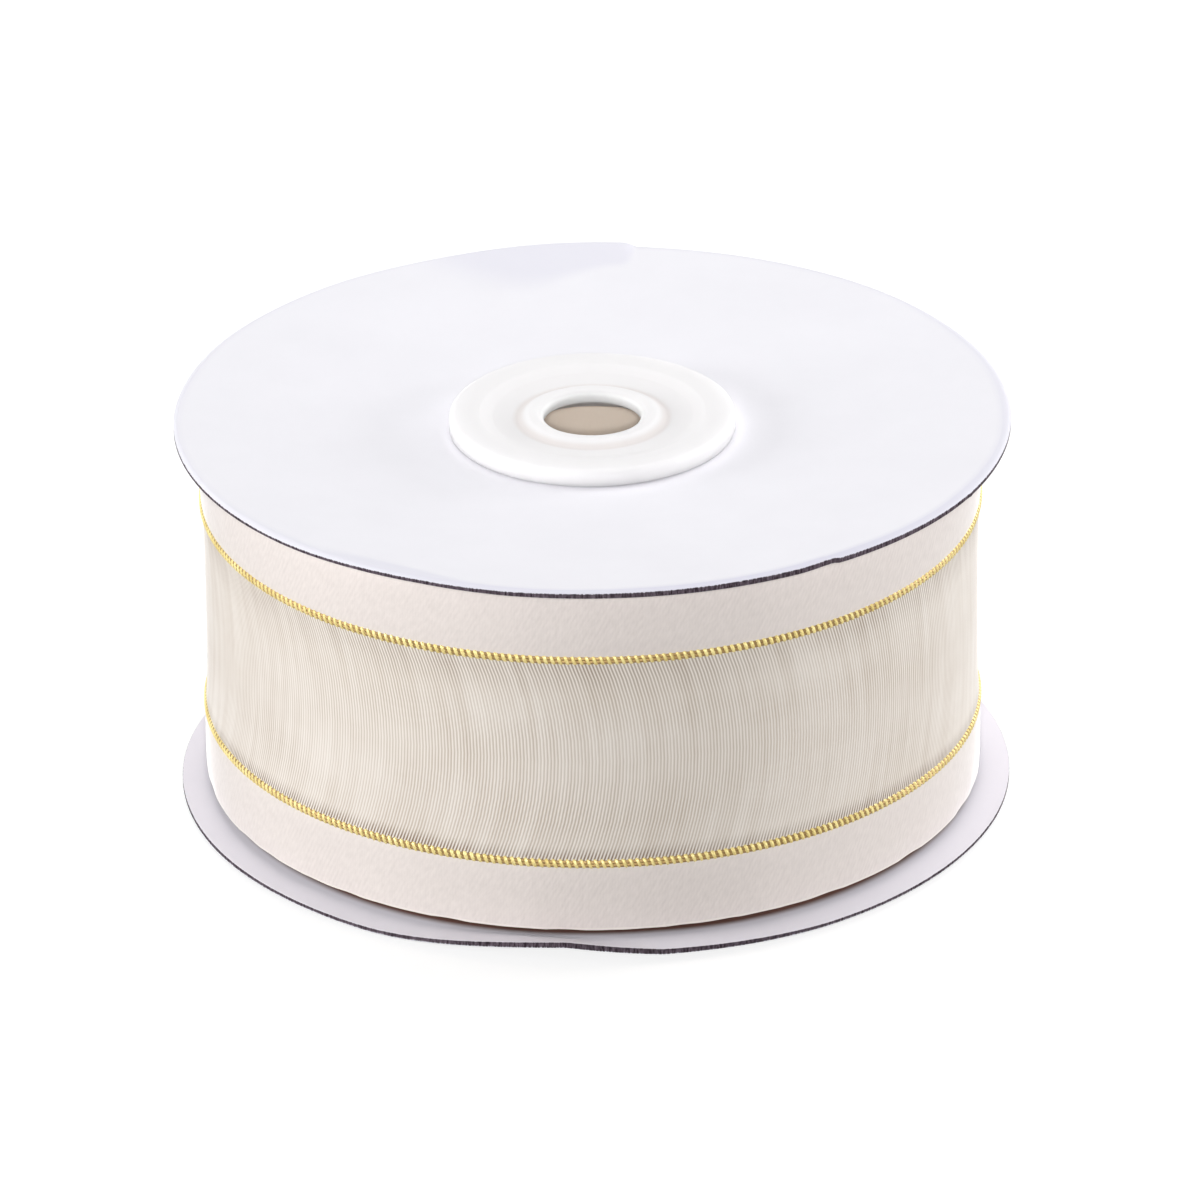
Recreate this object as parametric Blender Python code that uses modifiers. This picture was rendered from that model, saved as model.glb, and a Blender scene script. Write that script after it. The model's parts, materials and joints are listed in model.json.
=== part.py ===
"""Ribbon spool: sheer ribbon with satin edges and gold cords, wound on a paper tube.

Two card flanges close the ends of the tube, and a press-in plastic hub plug holds each
of them on. Lengths are in metres. +Z is the spool's axis, and the origin is where that
axis meets the surface the spool stands on.
"""

import math

import bmesh
import bpy
from mathutils import Vector

MM = 0.001

# Clearance between pieces that seat on each other
SEAT_GAP = 0.3 * MM

# Ribbon, across its width: satin edge, gold cord, sheer band, gold cord, satin edge
RIBBON_WIDTH = 38.3 * MM
SATIN_WIDTH = 6.8 * MM
CORD_WIDTH = 1.1 * MM

# Ribbon, through its thickness as the outer turn lies on the roll
SATIN_THICKNESS = 0.4 * MM
SATIN_RISE = 0.15 * MM
CORD_THICKNESS = 0.6 * MM
SHEER_THICKNESS = 0.3 * MM
SHEER_SAG = 0.25 * MM

# Card flanges, which bow outwards towards their edge and stand past the roll
FLANGE_RADIUS = 43.3 * MM
FLANGE_THICKNESS = 0.7 * MM
FLANGE_BOW = 1.75 * MM
FLANGE_LIP = 2.3 * MM

# Roll of wound ribbon
TURN_GAP = 0.45 * MM
TAIL_BEARING = math.radians(102)
TAIL_OVERLAP = math.radians(14)
# The plugs draw the flanges in, which squeezes the edges of the inner turns
EDGE_SQUEEZE = 1.4 * MM
# The ribbon is wound up against the upper flange, which leaves it this much more room below
LOWER_SLACK = 0.7 * MM

# Paper tube in the middle of the roll
TUBE_BORE_RADIUS = 12.7 * MM
TUBE_WALL = 1.6 * MM

# Hub plugs: a rim over the flange, a dished web, a collar round the spindle bore
# and a spigot with crush ribs in the tube
RIM_OVERHANG = 2.1 * MM
RIM_HEIGHT = 1.6 * MM
RIM_ROUND = 0.7 * MM
RIM_CROWN_WIDTH = 2.4 * MM
DISH_SLOPE_WIDTH = 1.4 * MM
DISH_HEIGHT = 0.5 * MM
DISH_FALL = 0.65 * MM
WEB_THICKNESS = 0.9 * MM
SPINDLE_BORE_RADIUS = 5.05 * MM
COLLAR_WALL = 1.95 * MM
COLLAR_HEIGHT = 1.4 * MM
COLLAR_DRAFT = 0.8 * MM
COLLAR_ROUND = 0.35 * MM
BORE_LAND = 1.35 * MM
SPIGOT_LENGTH = 3.1 * MM
SPIGOT_WALL = 1.0 * MM
SPIGOT_LEAD_IN = 0.4 * MM
RIB_COUNT = 8
RIB_RADIUS = 0.5 * MM
RIB_HEIGHT = 0.3 * MM

# Adhesive tapes: one starts the ribbon on the tube, one holds its cut end down
STARTER_TAPE_MARGIN = 6.0 * MM
STARTER_TAPE_LENGTH = 16.0 * MM
STARTER_TAPE_THICKNESS = 0.2 * MM
TAIL_TAPE_WIDTH = 12.0 * MM
TAIL_TAPE_LENGTH = 24.0 * MM
TAIL_TAPE_THICKNESS = 0.2 * MM

# Facets
DISC_STEPS = 72
PLUG_STEPS = 48
TURN_STEPS = 72
GAP_STEPS = 1440
CORD_SIDES = 8
SHEER_SPANS = 4
BOW_SPANS = 4
BOW_POWER = 1.5
ROUND_SPANS = 3
RIB_SIDES = 10
TAPE_SPANS = 28
SCREW_MERGE = 0.00001
SMOOTH_UNDER = math.radians(35)

# Heights above the middle of the roll
INNER_TURN_HEIGHT = RIBBON_WIDTH / 2 - EDGE_SQUEEZE
FACE_HEIGHT = INNER_TURN_HEIGHT + SEAT_GAP
SEAT_HEIGHT = FACE_HEIGHT + FLANGE_THICKNESS + SEAT_GAP
MIDDLE_HEIGHT = SEAT_HEIGHT + RIM_HEIGHT + LOWER_SLACK

# Radii of what fits round the tube
TUBE_RADIUS = TUBE_BORE_RADIUS + TUBE_WALL
RIM_RADIUS = TUBE_BORE_RADIUS + RIM_OVERHANG
CLAMP_RADIUS = max(RIM_RADIUS, TUBE_RADIUS) + SEAT_GAP
TAPE_RADIUS = TUBE_RADIUS + SEAT_GAP
ROLL_BORE_RADIUS = TAPE_RADIUS + STARTER_TAPE_THICKNESS + SEAT_GAP

# The ribbon's zones, up from its middle
SHEER_WIDTH = RIBBON_WIDTH - 2 * (SATIN_WIDTH + CORD_WIDTH) - 4 * SEAT_GAP
CORD_OFFSET = SHEER_WIDTH / 2 + SEAT_GAP + CORD_WIDTH / 2
SATIN_OFFSET = RIBBON_WIDTH / 2 - SATIN_WIDTH / 2

# The outer turn: a turn and a little more, climbing clear of its own thickest zone
TURN = 2 * math.pi
WOUND_ANGLE = TURN + TAIL_OVERLAP
ROLL_RADIUS = FLANGE_RADIUS - FLANGE_LIP
THICKEST_ZONE = max(CORD_THICKNESS, SATIN_THICKNESS, SHEER_THICKNESS)
TURN_CLIMB = THICKEST_ZONE + TURN_GAP
DEEPEST_ZONE = max(CORD_THICKNESS / 2, SATIN_THICKNESS - SATIN_RISE, SHEER_SAG + SHEER_THICKNESS)


def linear(red, green, blue):
    """Scene-linear colour of an sRGB one given from 0 to 255."""
    return [(channel / 255) ** 2.2 for channel in (red, green, blue)]


COLOURS = {
    "white_card": (linear(246, 245, 250), 0.45, 0.0),
    "white_plastic": (linear(246, 244, 245), 0.3, 0.0),
    "paper_tube": (linear(205, 185, 162), 0.85, 0.0),
    "cream_satin": (linear(232, 223, 212), 0.35, 0.0),
    "cream_sheer": (linear(222, 212, 202), 0.55, 0.0),
    "gold_cord": (linear(201, 168, 88), 0.3, 0.8),
    "wound_ribbon": (linear(226, 216, 205), 0.6, 0.0),
    "clear_tape": (linear(236, 234, 226), 0.15, 0.0),
    "starter_tape": (linear(228, 220, 196), 0.6, 0.0),
}


def material(name):
    found = bpy.data.materials.get(name)
    if found:
        return found
    colour, roughness, metallic = COLOURS[name]
    made = bpy.data.materials.new(name)
    made.use_nodes = True
    shader = made.node_tree.nodes["Principled BSDF"]
    shader.inputs["Base Color"].default_value = (*colour, 1)
    shader.inputs["Roughness"].default_value = roughness
    shader.inputs["Metallic"].default_value = metallic
    made.diffuse_color = (*colour, 1)
    return made


def clear_scene():
    for old in list(bpy.data.objects):
        bpy.data.objects.remove(old, do_unlink=True)


def collection(name):
    made = bpy.data.collections.new(name)
    bpy.context.scene.collection.children.link(made)
    return made


def helper(name, data, helpers):
    """A guide or cutter, which isn't part of the spool."""
    made = bpy.data.objects.new(name, data)
    helpers.objects.link(made)
    made.display_type = "WIRE"
    made.hide_render = True
    return made


def piece(name, data, surface, parts, centre, height=0.0, flipped=False):
    """One sub-part, placed along the axis from the middle of the roll."""
    if not data.materials:
        data.materials.append(material(surface))
    made = bpy.data.objects.new(name, data)
    parts.objects.link(made)
    made.parent = centre
    made.location.z = -height if flipped else height
    made.rotation_euler.x = math.pi if flipped else 0.0
    return made


def smooth(mesh):
    mesh.shade_smooth()
    mesh.set_sharp_from_angle(angle=SMOOTH_UNDER)
    return mesh


def baked(source):
    """The mesh that an object and its modifiers make, without the object."""
    bpy.context.view_layer.update()
    graph = bpy.context.evaluated_depsgraph_get()
    mesh = bpy.data.meshes.new_from_object(source.evaluated_get(graph))
    mesh.materials.clear()
    bpy.data.objects.remove(source, do_unlink=True)
    return mesh


def turned(name, profile, steps, helpers):
    """A closed profile of (radius, height) points, clockwise, turned about the axis."""
    mesh = bpy.data.meshes.new(name)
    edges = [(i, (i + 1) % len(profile)) for i in range(len(profile))]
    mesh.from_pydata([(radius, 0, height) for radius, height in profile], edges, [])
    source = helper(name + "_profile", mesh, helpers)
    screw = source.modifiers.new("Turn", "SCREW")
    screw.steps = screw.render_steps = steps
    screw.use_merge_vertices = True
    screw.merge_threshold = SCREW_MERGE
    return source


def closed_spline(curve, points):
    spline = curve.splines.new("POLY")
    spline.points.add(len(points) - 1)
    for point, place in zip(spline.points, points):
        point.co = (*place, 0, 1)
    spline.use_cyclic_u = True


def swept(name, path, section, helpers):
    """A closed section of (outward, up) points, run along a level path seen from above."""
    outline = bpy.data.curves.new(name + "_section", "CURVE")
    closed_spline(outline, section[::-1])
    curve = bpy.data.curves.new(name, "CURVE")
    curve.dimensions = "3D"
    curve.twist_mode = "Z_UP"
    spline = curve.splines.new("POLY")
    spline.points.add(len(path) - 1)
    for point, (x, y) in zip(spline.points, path):
        point.co = (x, y, 0, 1)
    curve.bevel_mode = "OBJECT"
    curve.bevel_object = helper(name + "_section", outline, helpers)
    curve.use_fill_caps = True
    return curve


def polar(radius, angle):
    return (radius * math.cos(angle), radius * math.sin(angle))


def box_section(outer, thickness, width):
    """A flat strip: its outer face lies outer from the path."""
    half = width / 2
    inner = outer - thickness
    return [(outer, -half), (outer, half), (inner, half), (inner, -half)]


def winding_radius(back):
    """The outer turn's radius, at an angle back from its cut end."""
    return ROLL_RADIUS - SATIN_RISE - TURN_CLIMB * back / TURN


def winding_point(back, outward=0.0):
    return polar(winding_radius(back) + outward, TAIL_BEARING + back)


def winding_path(steps):
    """The outer turn, from its cut end back to just short of the step in the roll."""
    length = WOUND_ANGLE - SEAT_GAP / ROLL_RADIUS
    count = round(steps * WOUND_ANGLE / TURN)
    return [winding_point(length * i / count) for i in range(count + 1)]


def least_self_gap(thickness):
    """Least gap between the start of the outer turn and its tail, measured on closely spaced points."""
    centres = [Vector(point) for point in winding_path(GAP_STEPS)]
    away = round(GAP_STEPS * 0.75)
    least = min(
        (later - earlier).length
        for i, earlier in enumerate(centres)
        for later in centres[i + away:]
    )
    return least - thickness


def flange_mesh(helpers):
    """A die-cut disc: flat where the plug and the tube clamp it, then bowing outwards."""
    spans = [i / BOW_SPANS for i in range(BOW_SPANS + 1)]
    free = FLANGE_RADIUS - CLAMP_RADIUS
    inside = [(TUBE_BORE_RADIUS, 0.0)]
    inside += [(CLAMP_RADIUS + free * t, FLANGE_BOW * t**BOW_POWER) for t in spans]
    outside = [(radius, height + FLANGE_THICKNESS) for radius, height in inside]
    return smooth(baked(turned("flange", outside + inside[::-1], DISC_STEPS, helpers)))


def plug_profile(spigot_radius):
    """Half section of a hub plug, whose rim sits on the flange at height 0."""
    quarter = [math.pi / 2 * i / ROUND_SPANS for i in range(ROUND_SPANS + 1)]
    crown_outer = RIM_RADIUS - RIM_ROUND
    crown_inner = crown_outer - RIM_CROWN_WIDTH
    wall_top = RIM_HEIGHT - RIM_ROUND
    spigot_inner = spigot_radius - SPIGOT_WALL
    collar_base = SPINDLE_BORE_RADIUS + COLLAR_WALL
    floor = DISH_HEIGHT - DISH_FALL
    web = floor - WEB_THICKNESS
    profile = [(crown_inner, RIM_HEIGHT)]
    profile += [
        (crown_outer + RIM_ROUND * math.sin(a), wall_top + RIM_ROUND * math.cos(a)) for a in quarter
    ]
    profile += [
        (RIM_RADIUS, 0.0),
        (spigot_radius, 0.0),
        (spigot_radius, SPIGOT_LEAD_IN - SPIGOT_LENGTH),
        (spigot_radius - SPIGOT_LEAD_IN, -SPIGOT_LENGTH),
        (spigot_inner, -SPIGOT_LENGTH),
        (spigot_inner, web),
        (collar_base, web),
        (SPINDLE_BORE_RADIUS, COLLAR_HEIGHT - BORE_LAND),
        (SPINDLE_BORE_RADIUS, COLLAR_HEIGHT - COLLAR_ROUND),
        (SPINDLE_BORE_RADIUS + COLLAR_ROUND, COLLAR_HEIGHT),
        (collar_base - COLLAR_DRAFT, COLLAR_HEIGHT),
        (collar_base, floor),
        (crown_inner - DISH_SLOPE_WIDTH, DISH_HEIGHT),
    ]
    return profile


def plug_mesh(helpers):
    rib_reach = TUBE_BORE_RADIUS - SEAT_GAP
    spigot_radius = rib_reach - RIB_HEIGHT
    ribs = bmesh.new()
    rib_top = RIM_HEIGHT / 3
    rib_bottom = 2 * SPIGOT_LEAD_IN - SPIGOT_LENGTH
    for i in range(RIB_COUNT):
        x, y = polar(rib_reach - RIB_RADIUS, TURN * (i + 0.5) / RIB_COUNT)
        made = bmesh.ops.create_cone(
            ribs,
            cap_ends=True,
            segments=RIB_SIDES,
            radius1=RIB_RADIUS,
            radius2=RIB_RADIUS,
            depth=rib_top - rib_bottom,
        )
        middle = Vector((x, y, (rib_top + rib_bottom) / 2))
        bmesh.ops.translate(ribs, verts=made["verts"], vec=middle)
    rib_mesh = bpy.data.meshes.new("crush_ribs")
    ribs.to_mesh(rib_mesh)
    ribs.free()
    source = turned("hub_plug", plug_profile(spigot_radius), PLUG_STEPS, helpers)
    union = source.modifiers.new("Crush ribs", "BOOLEAN")
    union.operation = "UNION"
    union.object = helper("crush_ribs", rib_mesh, helpers)
    return smooth(baked(source))


def tube_mesh(helpers):
    top = FACE_HEIGHT - SEAT_GAP
    foot = -top - LOWER_SLACK
    outer_wall = [(TUBE_RADIUS, top), (TUBE_RADIUS, foot)]
    profile = outer_wall + [(TUBE_BORE_RADIUS, foot), (TUBE_BORE_RADIUS, top)]
    return smooth(baked(turned("tube", profile, PLUG_STEPS, helpers)))


def roll_curve():
    """The inner turns: a spiral outline with a step where the outer turn starts."""
    curve = bpy.data.curves.new("inner_roll", "CURVE")
    curve.dimensions = "2D"
    curve.fill_mode = "BOTH"
    curve.extrude = INNER_TURN_HEIGHT
    backs = [TAIL_OVERLAP + TURN * i / TURN_STEPS for i in range(TURN_STEPS + 1)]
    # The spiral starts a little late, so that the step leans and stays a clean face
    backs[0] += SEAT_GAP / ROLL_RADIUS
    drop = DEEPEST_ZONE + SEAT_GAP
    closed_spline(curve, [winding_point(back, -drop) for back in backs])
    bearings = [TURN * i / PLUG_STEPS for i in range(PLUG_STEPS)]
    closed_spline(curve, [polar(ROLL_BORE_RADIUS, bearing) for bearing in bearings])
    return curve


def sheer_section():
    """The sheer band, which sinks a little between the cords."""
    spans = [2 * i / SHEER_SPANS - 1 for i in range(SHEER_SPANS + 1)]
    outer = [(-SHEER_SAG * (1 - t * t), t * SHEER_WIDTH / 2) for t in spans]
    inner = [(out - SHEER_THICKNESS, up) for out, up in outer[::-1]]
    return outer + inner


def cord_section():
    turns = [TURN * i / CORD_SIDES for i in range(CORD_SIDES)]
    return [(CORD_THICKNESS / 2 * math.cos(a), CORD_WIDTH / 2 * math.sin(a)) for a in turns]


def starter_tape_path():
    """Round the tube, under the ribbon's first turn."""
    arc = STARTER_TAPE_LENGTH / TAPE_RADIUS
    return [polar(TAPE_RADIUS, arc * (i / TAPE_SPANS - 0.5)) for i in range(TAPE_SPANS + 1)]


def tail_tape_path():
    """Over the cut end: up the step from the turn below, then on along the tail."""
    arc = TAIL_TAPE_LENGTH / ROLL_RADIUS
    clear_of_end = 2 * SEAT_GAP / ROLL_RADIUS
    ramp = 2 * TURN_CLIMB / ROLL_RADIUS
    path = []
    for i in range(TAPE_SPANS + 1):
        back = arc * (i / TAPE_SPANS - 0.5)
        fallen = min(max((-back - clear_of_end) / ramp, 0.0), 1.0)
        path.append(winding_point(back, SEAT_GAP - TURN_CLIMB * fallen))
    return path


def build():
    clear_scene()
    parts = collection("ribbon_spool")
    helpers = collection("guides")
    centre = bpy.data.objects.new("roll_middle", None)
    centre.location.z = MIDDLE_HEIGHT
    parts.objects.link(centre)

    flange = flange_mesh(helpers)
    plug = plug_mesh(helpers)
    for side, flipped, slack in (("upper", False, 0.0), ("lower", True, LOWER_SLACK)):
        piece(side + "_flange", flange, "white_card", parts, centre, FACE_HEIGHT + slack, flipped)
        piece(side + "_hub_plug", plug, "white_plastic", parts, centre, SEAT_HEIGHT + slack, flipped)
    piece("core_tube", tube_mesh(helpers), "paper_tube", parts, centre)
    piece("inner_roll", roll_curve(), "wound_ribbon", parts, centre)

    path = winding_path(TURN_STEPS)
    sheer = swept("sheer_band", path, sheer_section(), helpers)
    piece("sheer_band", sheer, "cream_sheer", parts, centre)
    satin_section = box_section(SATIN_RISE, SATIN_THICKNESS, SATIN_WIDTH)
    for side, sign in (("upper", 1), ("lower", -1)):
        satin = swept(side + "_satin_edge", path, satin_section, helpers)
        piece(side + "_satin_edge", satin, "cream_satin", parts, centre, sign * SATIN_OFFSET)
        cord = swept(side + "_gold_cord", path, cord_section(), helpers)
        piece(side + "_gold_cord", cord, "gold_cord", parts, centre, sign * CORD_OFFSET)
    print(f"least gap of the outer turn to itself: {least_self_gap(THICKEST_ZONE) / MM:.2f} mm")

    starter_width = RIBBON_WIDTH - 2 * STARTER_TAPE_MARGIN
    tape = box_section(STARTER_TAPE_THICKNESS, STARTER_TAPE_THICKNESS, starter_width)
    starter = swept("starter_tape", starter_tape_path(), tape, helpers)
    piece("starter_tape", starter, "starter_tape", parts, centre)
    tape = box_section(TAIL_TAPE_THICKNESS, TAIL_TAPE_THICKNESS, TAIL_TAPE_WIDTH)
    tail = swept("tail_tape", tail_tape_path(), tape, helpers)
    piece("tail_tape", tail, "clear_tape", parts, centre)


build()
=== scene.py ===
"""Ribbon spool: sheer ribbon with satin edges and gold cords on a card and paper reel.

The solid model is loaded first and gives the places and main sizes. Each operator then makes
one piece, or a group of like pieces, in place of its plain solid. Lengths are in metres, +Z is
the spool's axis, and bearings are angles about that axis from +X.
"""

import json
import math

import bmesh
import bpy
import numpy as np
from mathutils import Matrix, Vector

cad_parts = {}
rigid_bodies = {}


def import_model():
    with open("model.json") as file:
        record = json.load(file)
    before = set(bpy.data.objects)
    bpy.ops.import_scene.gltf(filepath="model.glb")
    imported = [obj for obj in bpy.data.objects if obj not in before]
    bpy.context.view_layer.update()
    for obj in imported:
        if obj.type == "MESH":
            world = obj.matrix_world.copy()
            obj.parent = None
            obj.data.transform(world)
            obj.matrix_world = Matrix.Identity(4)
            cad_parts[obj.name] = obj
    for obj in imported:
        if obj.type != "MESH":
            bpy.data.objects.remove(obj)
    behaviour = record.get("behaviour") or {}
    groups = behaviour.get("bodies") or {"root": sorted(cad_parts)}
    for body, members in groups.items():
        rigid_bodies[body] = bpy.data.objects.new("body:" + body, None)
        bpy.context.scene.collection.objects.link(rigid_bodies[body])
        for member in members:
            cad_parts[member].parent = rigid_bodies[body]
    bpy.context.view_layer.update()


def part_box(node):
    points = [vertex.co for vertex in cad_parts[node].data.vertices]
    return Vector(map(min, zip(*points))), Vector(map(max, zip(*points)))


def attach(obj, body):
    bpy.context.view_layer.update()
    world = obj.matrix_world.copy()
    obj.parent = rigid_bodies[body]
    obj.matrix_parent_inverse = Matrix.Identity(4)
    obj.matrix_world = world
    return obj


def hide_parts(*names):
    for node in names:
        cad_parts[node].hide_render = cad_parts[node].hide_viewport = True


for leftover in list(bpy.data.objects):
    bpy.data.objects.remove(leftover, do_unlink=True)

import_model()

bl_info = {
    "name": "Ribbon spool",
    "version": (1, 0, 0),
    "blender": (4, 5, 0),
    "location": "View3D > Sidebar > Ribbon spool",
    "description": "Makes a spool of sheer ribbon with satin edges and gold cords",
    "category": "Object",
}

MM = 0.001
TURN = 2 * math.pi
FRONT = -TURN / 4
BACK = TURN / 4
SIDES = (("upper", 1), ("lower", -1))
WHITE = (1.0, 1.0, 1.0, 1.0)

# Gap that the solid model keeps between pieces that touch on a real reel
SEAT_GAP = 0.3 * MM

# The spool's middle, from which heights are taken
MIDDLE_HEIGHT = (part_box("sheer_band")[0].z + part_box("sheer_band")[1].z) / 2


def box_heights(node):
    """The lowest and highest point of a solid, from the spool's middle."""
    low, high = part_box(node)
    return low.z - MIDDLE_HEIGHT, high.z - MIDDLE_HEIGHT


# Heights and radii that the solid model gives
FLANGE_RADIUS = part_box("upper_flange")[1].x
PLUG_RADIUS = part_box("upper_hub_plug")[1].x
TUBE_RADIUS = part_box("core_tube")[1].x
FLANGE_FACE = box_heights("upper_flange")[0]
LOWER_SLACK = -box_heights("lower_flange")[1] - FLANGE_FACE
PLUG_BOTTOM, PLUG_TOP = box_heights("upper_hub_plug")
TUBE_FOOT, TUBE_TOP = box_heights("core_tube")
ROLL_TOP = box_heights("inner_roll")[1]
SATIN_TOP = box_heights("upper_satin_edge")[1]
CORD_FOOT, CORD_TOP = box_heights("upper_gold_cord")
CORD_MIDDLE = (CORD_TOP + CORD_FOOT) / 2
STARTER_HALF_WIDTH = box_heights("starter_tape")[1]
TAIL_TAPE_HALF_WIDTH = box_heights("tail_tape")[1]


def linear(red, green, blue):
    """Scene-linear colour of an sRGB one given from 0 to 255."""
    channels = np.array((red, green, blue)) / 255
    low = channels / 12.92
    high = ((channels + 0.055) / 1.055) ** 2.4
    return tuple(float(value) for value in np.where(channels <= 0.04045, low, high))


def length(name, description, default):
    return bpy.props.FloatProperty(
        name=name,
        description=description,
        default=default,
        min=0.0,
        precision=5,
        subtype="DISTANCE",
        unit="LENGTH",
    )


def angle(name, description, degrees):
    return bpy.props.FloatProperty(
        name=name,
        description=description,
        default=math.radians(degrees),
        subtype="ANGLE",
        unit="ROTATION",
    )


def colour(name, description, red, green, blue):
    return bpy.props.FloatVectorProperty(
        name=name,
        description=description,
        default=linear(red, green, blue),
        size=3,
        min=0.0,
        max=1.0,
        subtype="COLOR",
    )


def number(name, description, default):
    return bpy.props.FloatProperty(name=name, description=description, default=default)


def count(name, description, default):
    return bpy.props.IntProperty(name=name, description=description, default=default, min=1)


class SpoolReel(bpy.types.PropertyGroup):
    """Sizes of the flanges, hub plugs and paper tube"""

    flange_bow: length("Flange bow", "How far a flange's edge bows outwards", 1.75 * MM)
    flange_warp: length("Flange warp", "How much less a flange bows at the back than at the front", 0.3 * MM)
    clamp_margin: length("Clamp margin", "Flat part of a flange beyond its hub plug", 0.3 * MM)
    board_thickness: length("Board thickness", "Thickness of a flange", 0.7 * MM)
    roll_width: length("Edge roll width", "Where the die has rolled the outer liner over the edge", 1.0 * MM)
    upper_bend: length("Upper bend", "How far the upper flange's edge is bent up at the back", 0.45 * MM)
    lower_bend: length("Lower bend", "How far the lower flange's edge is bent up at the front", 1.2 * MM)
    knock: length("Knocks", "How far small knocks lift the upper flange's edge", 0.2 * MM)
    tube_wall: length("Tube wall", "Wall of the paper tube", 1.6 * MM)
    tube_seam: length("Tube seam pitch", "Height from one turn of the spiral seam to the next", 14 * MM)
    bore_radius: length("Spindle bore", "Radius of a hub plug's bore", 5.05 * MM)
    rib_count: count("Crush ribs", "Ribs round a hub plug's spigot", 8)
    rib_height: length("Crush rib height", "How far a rib stands out of the spigot", 0.3 * MM)


class SpoolRibbon(bpy.types.PropertyGroup):
    """Sizes of the wound ribbon"""

    flange_lip: length("Flange lip", "How far the flanges stand past the roll", 2.3 * MM)
    turn_climb: length("Turn climb", "How far the outer turn climbs in one turn", 1.05 * MM)
    tail_bearing: angle("Tail bearing", "Where the ribbon's cut end lies", 102)
    tail_overlap: angle("Tail overlap", "How far the cut end laps over the start of the turn", 14)
    satin_rise: length("Satin rise", "How far the satin stands out of the cords' middle", 0.15 * MM)
    satin_thickness: length("Satin thickness", "Thickness of the satin edges", 0.3 * MM)
    sheer_sag: length("Sheer sag", "How far the sheer band sinks between the cords", 0.25 * MM)
    sheer_thickness: length("Sheer thickness", "Thickness of the sheer band", 0.15 * MM)
    weft_pitch: length("Weft pitch", "From one weft thread to the next", 0.35 * MM)
    weft_depth: length("Weft depth", "How far a weft thread stands out of the sheer band", 0.03 * MM)
    weft_bow: length("Weft bow", "How far the weft bows along the ribbon at its middle", 2.2 * MM)
    cord_lay: length("Cord lay", "Length in which a gold cord's strand winds round once", 0.71 * MM)
    cord_strands: count("Cord strands", "Strands wound round a gold cord's core", 1)
    strand_radius: length("Strand radius", "Radius of a strand of gold cord", 0.24 * MM)
    cord_sink: length("Cord sink", "How far a gold cord is sunk into the cloth", 0.1 * MM)
    roll_bore: length("Roll bore", "Radius of the hole in the wound roll", 15.1 * MM)
    roll_drop: length("Roll drop", "From the cords' middle down to the turn below", 0.85 * MM)
    tape_thickness: length("Tape thickness", "Thickness of the adhesive tapes", 0.12 * MM)
    tail_tape_length: length("Tail tape", "Length of the tape over the cut end", 24 * MM)
    starter_tape_length: length("Starter tape", "Length of the tape on the tube", 16 * MM)


class SpoolColours(bpy.types.PropertyGroup):
    """Colours of the spool's finishes"""

    card: colour("Card", "White liner of the flanges", 242, 241, 246)
    card_shade: colour("Card shade", "Cloudy variation of the liner", 239, 238, 243)
    # Painted shade on the rolled and bent edges, strongest at the front
    card_edge_shade: colour("Painted edge shade", "Liner where the edge is rolled over or bent", 223, 222, 234)
    # Painted shade: a slightly greyer copy of the liner for the inner faces
    card_inside: colour("Card inside", "Inner liner of the flanges", 239, 236, 244)
    # Painted shadow in the gap under the roll's edge
    card_roll_shadow: colour("Painted roll shadow", "Inner liner where the roll's edges lie on it", 120, 86, 76)
    board: colour("Board", "Grey core at a flange's edge", 112, 100, 110)
    board_dark: colour("Board dark", "Dark fibres of the grey core", 50, 40, 47)
    plastic: colour("Plastic", "Hub plugs", 241, 239, 240)
    # Painted shade in the fold round a plug's collar
    plastic_fold_shade: colour("Painted fold shade", "Painted shade in the fold round a plug's collar", 216, 204, 197)
    tube: colour("Tube", "Paper tube", 255, 240, 224)
    tube_shade: colour("Tube shade", "Fibres and seam of the paper tube", 251, 235, 218)
    satin: colour("Satin", "Satin edges", 239, 230, 225)
    satin_shade: colour("Satin shade", "Shade between the satin's threads", 223, 214, 209)
    thread: colour("Sheer thread", "Weft threads of the sheer band", 244, 237, 229)
    # Painted shade: the shaded layers seen through the gaps
    gap: colour("Sheer gap", "Gaps between the weft threads", 192, 176, 159)
    # Painted shade beside the cords, also used in the roll's gaps
    gap_cord_shade: colour("Painted cord shade", "Gaps where the sheer sinks by a cord", 132, 108, 88)
    gold: colour("Gold", "Metal thread of the cords", 246, 233, 168)
    # The core yarns are real, but their dark brown is painted shade in the gaps between strands
    gold_core_shade: colour("Gold core shade", "Straight yarns inside the cords", 152, 125, 78)
    gold_shade: colour("Gold shade", "Dark foil of the cords", 210, 187, 114)
    tape: colour("Tail tape", "Clear film over the cut end", 240, 238, 230)
    paper_tape: colour("Starter tape", "Paper tape on the tube", 230, 222, 198)
    floor: colour("Floor", "Plain pale floor", 160, 160, 160)


class SpoolStage(bpy.types.PropertyGroup):
    """Camera and light"""

    camera_distance: length("Camera distance", "From the camera to the spool's middle", 1.299)
    camera_elevation: angle("Camera elevation", "Above the horizon", 25.6)
    camera_roll: angle("Camera roll", "Turn about the line of sight", -0.6)
    lens: number("Lens", "Focal length in millimetres, on a 36 mm sensor", 374.3)
    shift_x: number("Shift X", "Sideways shift of the frame", 0.0049)
    shift_y: number("Shift Y", "Upward shift of the frame", -0.008)
    front_light: number("Front light", "Power of the lamp by the camera, in watts", 11.3)
    left_light: number("Left light", "Power of the low lamp on the left, in watts", 4.4)
    right_light: number("Right light", "Power of the low lamp on the right, in watts", 3.8)
    right_back_light: number("Right back light", "Power of the lamp behind on the right, in watts", 1.9)
    back_light: number("Back light", "Power of the lamp above and behind the spool, in watts", 3.8)
    sky_light: number("Sky light", "Strength of the light from all round", 0.12)


# Nodes


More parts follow.
